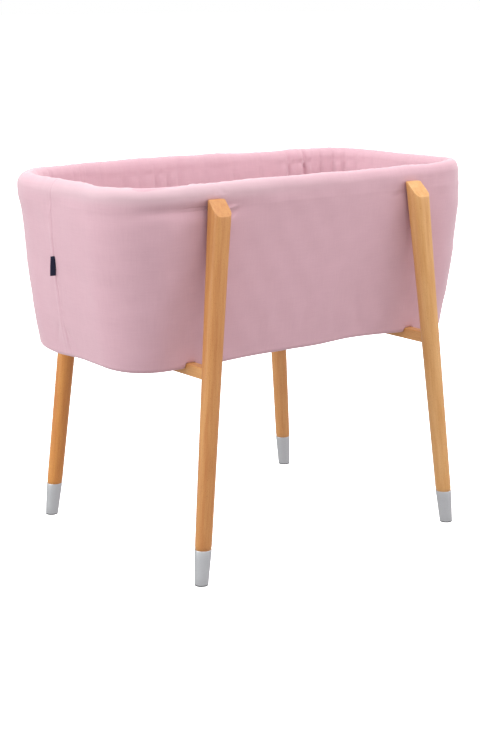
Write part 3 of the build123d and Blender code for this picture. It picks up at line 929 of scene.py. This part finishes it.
    def build(self):
        """Make the cover, paint a highlight on the top of the rim near the front-left corner, and put it on
        the basket.
        """
        outer, nominal = self.outer_rows()
        inner = self.inner_rows()
        grid = np.concatenate([outer, inner])
        back = nominal[-1] + np.arange(1, len(inner) + 1) * 12.0
        v = np.broadcast_to(np.concatenate([nominal, back])[:, None], grid.shape[:2])
        piece = capped_tube("sewn_outer_cover", grid, self.path.round, v)
        # Painted highlight: a share from 0 to 1 on the top of the roll, strongest near the front-left
        # corner.
        over = np.zeros(grid.shape[:2])
        over[:len(outer) - 12] = self.highlight_strength * hill(self.path.apart(260), 0, 330)
        highlight_share = np.append((over * ramp(grid[..., 2], 716, 742)).ravel(), [0, 0])
        attribute = piece.data.attributes.new("painted_highlight", "FLOAT", "POINT")
        attribute.data.foreach_set("value", highlight_share.astype(np.float32))
        self.finishes.dress(piece, "cover")
        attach(piece, "basket")
        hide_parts("outer_cover")
        return piece


@dataclass
class Lining:
    """The padded lining, gathered into soft upright folds and held under the rim roll."""

    finishes: Finishes
    cover: OuterCover
    top_offset: float = -17.0
    foot_offset: float = -25.0
    back_offset: float = 7.0
    puff: float = 3.6
    columns: int = 620
    rows: int = 34
    blow: Blow = Blow(1.2, -0.05, 0.3, 18, 5.0)

    def __post_init__(self) -> None:
        """Take the heights from the frame."""
        low, high = corner_of("lining")
        self.floor_z = low[2] + 0.2
        self.foot_z = low[2] + 20
        self.top_z = high[2] + 6
        self.path = self.cover.path.resampled(self.columns)

    def face(self) -> tuple:
        """The visible wall before it is filled out, puffed between its tucks.

        Returns:
            Offsets and heights, each with rows and columns.
        """
        path = self.path
        share = np.linspace(0, 1, self.rows)[:, None]
        z = self.foot_z + share * (self.top_z - self.foot_z)
        line = np.interp(z, [self.foot_z, 640, 662, 722], [self.foot_offset, -19.0, -14.6, -13.6])
        nearest = self.cover.beside_tuck(path)
        held = 1 - ramp(z, 610, 650)
        fade = 0.6 + 0.4 * undulation(path.rings(line, z), 31, 120)
        puff = self.puff * ramp(nearest, 0, 13) * held * (0.5 + 0.5 * fade)
        fine, fine_heights = gathers(path, 13, 6, 0.5, 0.1)
        crinkle = 0.7 * fine * fine_heights * (0.3 + 0.7 * ramp(share, 0.3, 0.9)) * held
        return line - puff - crinkle, z

    def filled(self, grid: np.ndarray, low_rows: int, high_rows: int) -> np.ndarray:
        """Fill the wall's padding out by cloth simulation, held at its edges, its back and its tucks.

        Args:
            grid: the whole lining's ring points.
            low_rows: the first row of the visible wall.
            high_rows: the row after its last.
        Returns:
            The grid with its visible wall filled out.
        """
        rows, columns = grid.shape[:2]
        nearest = self.cover.beside_tuck(self.path)
        along = np.linspace(1, 0, high_rows - low_rows)[:, None]
        hold = np.ones((rows, columns))
        hold[low_rows:high_rows] = np.clip(np.maximum(0.9 * (nearest < 1.8), ramp(along, 0.6, 0.72)), 0, 1)
        hold[high_rows - 2:high_rows] = 1
        return inflated(grid, ring_faces(rows, columns), hold, self.blow)

    def build(self):
        """Make the lining as one closed shell and put it on the basket."""
        path = self.path
        columns = np.zeros((1, self.columns))
        offset, z = self.face()
        shrink = np.linspace(0.05, 0.97, 6)[:, None]
        under = self.foot_offset - 14
        low = path.flat(under, self.floor_z, shrink)
        back_share = np.linspace(0, 1, 12)[:, None]
        back_z = self.foot_z + back_share * (self.top_z - 4 - self.foot_z)
        back_line = self.foot_offset + back_share * (self.top_offset - self.foot_offset) + self.back_offset
        back = path.rings(back_line + columns, back_z)
        over = path.rings(self.top_offset + 2.5 + columns, np.array([[self.top_z - 0.5]]))
        front = path.rings(offset[::-1], z[::-1])
        high = path.flat(under - 4, self.floor_z + 4.2, shrink[::-1])
        wall = np.concatenate([back, over, front])
        wall = self.filled(wall, len(back) + 1, len(wall))
        grid = np.concatenate([low, wall, high])
        v = np.concatenate([
            120 * shrink[:, 0], 130 + back_z[:, 0] - self.foot_z, [420.0],
            430 + self.top_z - z[::-1, 0], 740 + 120 * (1 - shrink[::-1, 0]),
        ])
        v = np.broadcast_to(v[:, None], grid.shape[:2])
        piece = capped_tube("padded_lining", grid, path.round, v)
        self.finishes.dress(piece, "lining")
        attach(piece, "basket")
        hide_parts("lining")
        return piece


@dataclass
class Mattress:
    """The loose mattress in its white jersey sheet, crowned a little and kept clear of its core."""

    finishes: Finishes
    cover: OuterCover
    crown: float = 3.0
    edge: float = 14.0
    clear: float = 0.8
    columns: int = 360
    blow: Blow = Blow(0.6, -0.01, 2.0, 12, 2.5)

    def build(self):
        """Make the mattress cover and put it on the mattress body."""
        low, high = corner_of("mattress_cover")
        path = self.cover.path.resampled(self.columns)
        inset = high[0] - path.half_length
        height = high[2] - low[2]
        rise = np.radians(np.linspace(-90, 90, 19))[:, None]
        offset = inset - self.edge + self.edge * np.cos(rise)
        z = (low[2] + high[2]) / 2 + (height / 2 - self.crown / 2) * squarish(np.sin(rise), 0.7)
        side = path.rings(offset, z)
        shrink = np.linspace(0.05, 0.97, 12)[:, None]
        under = path.flat(inset - self.edge, z[0, 0], shrink)
        upper = path.flat(inset - self.edge, z[-1, 0], shrink[::-1])
        upper[..., 2] += self.crown / 2 * (1 - shrink[::-1] ** 2)
        grid = np.concatenate([under, side, upper])
        grid[..., 2] += 0.5 * undulation(grid, 41, 140)
        rows = len(grid)
        hold = np.broadcast_to(1 - ramp(np.arange(rows), 14, 30)[:, None], grid.shape[:2])
        grid = inflated(grid, tube_faces(rows, self.columns), hold, self.blow)
        core_low, core_high = corner_of("mattress_core")
        top_rows = grid[len(under) + 12:]
        top_rows[..., 2] = np.maximum(top_rows[..., 2], core_high[2] + self.clear)
        low_rows = grid[:len(under) + 7]
        low_rows[..., 2] = np.minimum(low_rows[..., 2], core_low[2] - self.clear)
        over_edge = 120 + 20 * (rise[:, 0] + math.pi / 2)
        v = np.concatenate([120 * shrink[:, 0], over_edge, 190 + 120 * (1 - shrink[::-1, 0])])
        piece = capped_tube("mattress_sheet", grid, path.round, np.broadcast_to(v[:, None], grid.shape[:2]))
        self.finishes.dress(piece, "sheet")
        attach(piece, "mattress")
        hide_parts("mattress_cover")
        return piece


@dataclass
class FlagLabel:
    """The blank folded ribbon that stands out of the seam on the left end."""

    finishes: Finishes
    cover: OuterCover
    thickness: float = 1.3
    reach: float = 12.0
    set_out: float = 3.2
    rows: int = 14
    columns: int = 40

    def build(self):
        """Make the label and put it on the basket."""
        low, high = corner_of("label_tag")
        share = np.linspace(0, 1, self.rows)[:, None]
        z = low[2] + share * (high[2] - low[2])
        turn = np.linspace(0, 2 * math.pi, self.columns, endpoint=False)[None, :]
        half = self.reach / 2
        across, thick = squarish(np.cos(turn), 0.35), squarish(np.sin(turn), 0.6)
        out = half * (1 - across)
        curl = 1.4 * (out / self.reach) ** 2 + 0.3 * np.sin(share * 5)
        x = low[0] + (high[0] - low[0]) * 0.12 * share + self.reach - out + 0 * share
        y = (low[1] + high[1]) / 2 + thick * self.thickness / 2 + curl
        grid = np.stack(np.broadcast_arrays(x - self.set_out, y, z), -1)
        step = np.linalg.norm(np.diff(grid[0], axis=0, append=grid[0][:1]), axis=1)
        u = np.concatenate([[0], np.cumsum(step)])
        piece = capped_tube("blank_flag_label", grid, u, np.broadcast_to(z, grid.shape[:2]))
        self.finishes.dress(piece, "label")
        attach(piece, "basket")
        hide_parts("label_tag")
        return piece


# ---------------------------------------------------------------- the stand


@dataclass
class Leg:
    """One turned leg: round above its ferrule, a rounded square at the top, with a sloping cap."""

    finishes: Finishes
    side: str
    end: str
    lean_x: float = 0.1012
    lean_y: float = 0.0488
    shoulder_z: float = 69.6
    cap_strip: float = 9.0
    cap_drop: float = 27.0
    cap_edge: float = 1.8
    cap_lower: float = 4.0
    rows: int = 90
    arc_points: int = 9
    edge_points: int = 7
    tones: dict = field(default_factory=lambda: {
        ("front", "left"): "beech_dark", ("front", "right"): "beech_pale", ("back", "left"): "beech_warm",
    })

    def __post_init__(self) -> None:
        """Take the foot's place and the leg's top from the frame."""
        low, high = corner_of(f"glide_{self.side}_{self.end}")
        self.foot = (low + high)[:2] / 2
        self.out = np.sign(self.foot)
        leg_low, leg_high = corner_of(f"leg_{self.side}_{self.end}")
        self.foot_z, self.top_z = leg_low[2], leg_high[2] - self.cap_lower

    def centre(self, z: np.ndarray) -> tuple:
        """The leg's axis at a height."""
        return self.foot[0] - self.out[0] * self.lean_x * z, self.foot[1] - self.out[1] * self.lean_y * z

    def section(self, z: np.ndarray) -> tuple:
        """The section's half side and corner radius at a height, by straight lines between stations."""
        stations = [self.shoulder_z, 235.0, 400.0, 560.0, 760.0]
        half = np.interp(z, stations, [16.2, 17.5, 18.7, 18.9, 19.0])
        corner = np.interp(z, stations, [16.0, 17.2, 18.0, 15.0, 8.5])
        return half, corner

    def rounded_square(self) -> tuple:
        """The section's outline, where a point is (half side - radius) * sign + radius * direction.

        Returns:
            Corner signs and directions, one point a row.
        """
        signs, directions = [], []
        quarter = math.pi / 2
        for corner in range(4):
            turn = corner * quarter + np.linspace(0, quarter, self.arc_points)
            sign = np.array([[1, 1], [-1, 1], [-1, -1], [1, -1]][corner], float)
            after = np.array([[-1, 1], [-1, -1], [1, -1], [1, 1]][corner], float)
            signs.append(np.tile(sign, (self.arc_points, 1)))
            directions.append(np.stack([np.cos(turn), np.sin(turn)], -1))
            share = np.linspace(0, 1, self.edge_points + 2)[1:-1, None]
            signs.append(sign + (after - sign) * share)
            straight = (corner + 1) * quarter
            directions.append(np.tile([math.cos(straight), math.sin(straight)], (self.edge_points, 1)))
        return np.concatenate(signs), np.concatenate(directions)

    def cap(self, y: np.ndarray) -> np.ndarray:
        """The cap's height: level beside the basket, a rounded ridge, then down to the outside."""
        centre_y = self.centre(self.top_z)[1]
        half = self.section(self.top_z)[0]
        run = 2 * half - self.cap_strip
        past = (y - centre_y) * self.out[1] + half - self.cap_strip
        rounded = 0.5 * (past + np.sqrt(past ** 2 + 4.0))
        return self.top_z - self.cap_drop / run * rounded

    def build(self):
        """Make the leg and put it on the basket."""
        signs, directions = self.rounded_square()

        def outline(z: np.ndarray, inset: np.ndarray) -> np.ndarray:
            """The section at heights, drawn in by an inset."""
            half, corner = self.section(z)
            x, y = self.centre(z)
            scale = 1 - inset / half
            flat_x = (half - corner) * signs[:, 0] + corner * directions[:, 0]
            flat_y = (half - corner) * signs[:, 1] + corner * directions[:, 1]
            return np.stack([x + flat_x * scale, y + flat_y * scale, z], -1)

        count = len(signs)
        edge = np.full(count, self.top_z)
        for _ in range(3):
            edge = self.cap(outline(edge, np.zeros(count))[:, 1])
        rows = []
        for z, radius in ((self.foot_z, 11.0), (self.foot_z + 1, 11.9), (self.shoulder_z - 0.3, 15.2)):
            x, y = self.centre(z)
            spigot = np.concatenate([directions * radius, np.zeros((count, 1))], 1) + [x, y, z]
            rows.append(spigot)
        for share in np.linspace(0, 1, self.rows):
            z = self.shoulder_z + 0.8 * share ** 0.2 + share * (edge - self.cap_edge - self.shoulder_z - 0.8)
            rows.append(outline(z, np.full(count, 0.7 if share == 0 else 0.0)))
        for angle in np.radians([22, 45, 68, 90]):
            inset = self.cap_edge * (1 - math.cos(angle))
            z = edge - self.cap_edge * (1 - math.sin(angle))
            rows.append(outline(z, np.full(count, inset)))
        half = self.section(self.top_z)[0]
        for share in np.linspace(0.12, 0.95, 10):
            ring = outline(edge, np.full(count, self.cap_edge + (half - self.cap_edge) * share))
            ring[:, 2] = self.cap(ring[:, 1])
            rows.append(ring)
        grid = np.stack(rows)
        piece = capped_tube(f"turned_leg_{self.side}_{self.end}", grid)
        self.mark_grain(piece)
        self.finishes.dress(piece, self.tones.get((self.side, self.end), "beech"))
        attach(piece, "basket")
        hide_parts(f"leg_{self.side}_{self.end}")
        return piece

    def mark_grain(self, piece) -> None:
        """Store each point's place across and along the leg in metres, shifted so no two legs match."""
        count = len(piece.data.vertices)
        points = np.empty(count * 3, np.float32)
        piece.data.vertices.foreach_get("co", points)
        points = points.reshape(-1, 3) / MM
        x, y = self.centre(points[:, 2])
        shift = np.array([self.out[0] * 60 + 75, self.out[1] * 90, 140 * self.out[0] * self.out[1]])
        local = np.stack([points[:, 0] - x, points[:, 1] - y, points[:, 2]], -1) + shift
        attribute = piece.data.attributes.new("grain", "FLOAT_VECTOR", "POINT")
        attribute.data.foreach_set("vector", (local * MM).astype(np.float32).ravel())


@dataclass
class Ferrule:
    """A thin tapered metal sleeve with rolled edges over the foot of a leg."""

    finishes: Finishes
    leg: Leg
    foot_radius: float = 13.3
    top_radius: float = 16.6
    wall: float = 1.1
    columns: int = 72

    def build(self):
        """Make the ferrule and put it on the basket."""
        name = f"ferrule_{self.leg.side}_{self.leg.end}"
        low, high = corner_of(name)
        share = np.array([0.0, 0.004, 0.012, 0.25, 0.5, 0.75, 0.985, 0.995, 1.0])
        inset = np.array([0.55, 0.2, 0.0, 0.0, 0.0, 0.0, 0.0, 0.15, 0.5])
        outer = self.foot_radius + share * (self.top_radius - self.foot_radius)
        radius = np.concatenate([outer - inset, outer[[-1, 4, 0]] - self.wall])
        shares = np.concatenate([share, share[[-1, 4, 0]]])
        z = low[2] + shares * (high[2] - low[2])
        x, y = self.leg.centre(z)
        turn = np.linspace(0, 2 * math.pi, self.columns, endpoint=False)
        ring_x = x[:, None] + radius[:, None] * np.cos(turn)
        ring_y = y[:, None] + radius[:, None] * np.sin(turn)
        grid = np.stack([ring_x, ring_y, np.broadcast_to(z[:, None], ring_x.shape)], -1)
        piece = mesh_object(f"metal_{name}", grid.reshape(-1, 3), ring_faces(*grid.shape[:2]))
        self.finishes.dress(piece, "ferrule")
        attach(piece, "basket")
        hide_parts(name)
        return piece


@dataclass
class FoamSleeve:
    """The foam sleeve inside the rim roll, round the steel hoop."""

    finishes: Finishes
    cover: OuterCover
    half_width: float = 13.4
    half_height: float = 18.4
    bore: float = 11.3
    columns: int = 240

    def build(self):
        """Make the sleeve and put it on the basket."""
        path = self.cover.path.resampled(self.columns)
        turn = np.linspace(0, 2 * math.pi, 25)
        offset = np.concatenate([self.half_width * np.cos(turn), self.bore * np.cos(turn[::-1])])[:, None]
        z = np.concatenate([self.half_height * np.sin(turn), self.bore * np.sin(turn[::-1])])[:, None]
        grid = path.rings(offset + np.zeros((1, self.columns)), self.cover.rim_z + z)
        piece = mesh_object("rim_foam_sleeve", grid.reshape(-1, 3), ring_faces(*grid.shape[:2]))
        self.finishes.dress(piece, "foam")
        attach(piece, "basket")
        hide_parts("rim_foam")
        return piece


@dataclass
class KeptNodes:
    """The CAD pieces whose shape is already right, each given its finish."""

    finishes: Finishes
    finish_of: dict = field(default_factory=lambda: {
        "crossbar": "beech_bar", "glide": "glide", "rim_rail": "hoop", "rim_bow": "hoop",
        "rim_joiners": "hoop", "rim_buttons": "zinc", "leg_bolts": "zinc", "leg_inserts": "zinc",
        "leg_spacers": "glide", "base_board": "board", "mattress_core": "foam",
    })

    def dress(self) -> None:
        """Dress every CAD node by the start of its name."""
        for name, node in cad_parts.items():
            for start, finish in self.finish_of.items():
                if name.startswith(start):
                    self.finishes.dress(node, finish)
                    LOG.info("%s: %s", name, finish)


# ---------------------------------------------------------------- the studio


@dataclass
class Studio:
    """A white sweep, soft light from both sides and above that is stronger from the left, and the camera."""

    floor_half: float = 60.0
    camera_place: tuple = (-2.0605, -2.7065, 1.1098)
    azimuth: float = -37.283
    elevation: float = 12.857
    lens: float = 80.87
    shift: tuple = (-0.0102, -0.0026)
    below: float = 0.56
    above: float = 0.95
    softboxes: tuple = (
        ("left_high_softbox", (-2.8, 0.3, 2.6), 2.2, 42, "F6FFFE"),
        ("left_back_softbox", (-3.3, 1.3, 1.4), 2.2, 32, "F6FFFE"),
        ("right_softbox", (3.0, -2.2, 1.9), 2.6, 33, "FFFFFF"),
        ("right_back_softbox", (3.2, 1.6, 1.8), 2.2, 44, "FFFFFF"),
        ("top_softbox", (0.1, -0.8, 3.1), 2.2, 32, "FFFFFF"),
    )

    def light(self, name: str, place: tuple, size: float, power: float, colour: str) -> None:
        """Add a soft square light that faces the basket.

        Args:
            name: the light's name.
            place: where it hangs, in metres.
            size: its side, in metres.
            power: watts.
            colour: sRGB hex.
        """
        data = bpy.data.lights.new(name, "AREA")
        data.size = size
        data.energy = power
        data.color = linear(colour)[:3]
        lamp = bpy.data.objects.new(name, data)
        lamp.location = place
        aim = Vector((0, 0, 0.5)) - Vector(place)
        lamp.rotation_euler = aim.to_track_quat("-Z", "Y").to_euler()
        bpy.context.scene.collection.objects.link(lamp)

    def build(self) -> None:
        """Make the floor, the world, the lights and the camera."""
        h = self.floor_half
        mesh = bpy.data.meshes.new("studio_floor")
        mesh.from_pydata([(-h, -h, 0), (h, -h, 0), (h, h, 0), (-h, h, 0)], [], [(0, 1, 2, 3)])
        floor = link(mesh, "studio_floor")
        paper, _, shader = new_material("white_paper_sweep")
        set_sockets(shader, {"Base Color": linear("F7F7F7"), "Roughness": 0.9, "Specular IOR Level": 0.1})
        set_sockets(shader, {"Emission Color": (1, 1, 1, 1), "Emission Strength": 0.9})
        mesh.materials.append(paper)
        floor.visible_diffuse = floor.visible_glossy = floor.visible_shadow = False
        world = bpy.data.worlds.new("white_studio")
        bpy.context.scene.world = world
        world.use_nodes = True
        tree = world.node_tree
        split = add_node(tree, "ShaderNodeSeparateXYZ")
        tree.links.new(add_node(tree, "ShaderNodeTexCoord").outputs["Generated"], split.inputs[0])
        inputs = {"Value": split.outputs[2], "From Min": -0.05, "From Max": 0.05}
        inputs |= {"To Min": self.below, "To Max": self.above}
        glow = add_node(tree, "ShaderNodeMapRange", {}, inputs)
        dim = tree.nodes["Background"]
        dim.inputs["Color"].default_value = linear("FFFBFC")
        tree.links.new(glow.outputs[0], dim.inputs["Strength"])
        bright = add_node(tree, "ShaderNodeBackground", {}, {"Color": (1, 1, 1, 1), "Strength": 1.0})
        ray = add_node(tree, "ShaderNodeLightPath")
        mix = add_node(tree, "ShaderNodeMixShader", {}, {0: ray.outputs["Is Camera Ray"]})
        tree.links.new(dim.outputs[0], mix.inputs[1])
        tree.links.new(bright.outputs[0], mix.inputs[2])
        tree.links.new(mix.outputs[0], tree.nodes["World Output"].inputs["Surface"])
        for name, place, size, power, colour in self.softboxes:
            self.light(name, place, size, power, colour)
        self.hang_camera()

    def hang_camera(self) -> None:
        """Add the camera and plain colours."""
        camera = bpy.data.cameras.new("camera")
        camera.lens = self.lens
        camera.sensor_width = 36
        camera.shift_x, camera.shift_y = self.shift
        camera.clip_end = 200
        eye = bpy.data.objects.new("camera", camera)
        a, e = math.radians(self.azimuth), math.radians(self.elevation)
        back = Vector((math.sin(a) * math.cos(e), -math.cos(a) * math.cos(e), math.sin(e)))
        eye.location = self.camera_place
        eye.rotation_euler = (-back).to_track_quat("-Z", "Y").to_euler()
        bpy.context.scene.collection.objects.link(eye)
        bpy.context.scene.camera = eye
        bpy.context.scene.view_settings.view_transform = "Standard"


def main() -> None:
    """Build every piece and report each."""
    logging.basicConfig(level=logging.INFO, format="%(name)s: %(message)s")
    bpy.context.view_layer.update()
    finishes = Finishes()
    Studio().build()
    cover = OuterCover(finishes)
    legs = [Leg(finishes, side, end) for side in ("front", "back") for end in ("left", "right")]
    makers = [cover, Lining(finishes, cover), Mattress(finishes, cover), FoamSleeve(finishes, cover)]
    makers += [FlagLabel(finishes, cover), *legs, *(Ferrule(finishes, leg) for leg in legs)]
    for maker in makers:
        piece = maker.build()
        LOG.info("%s: %d faces", piece.name, len(piece.data.polygons))
    KeptNodes(finishes).dress()


if __name__ == "__main__":
    main()
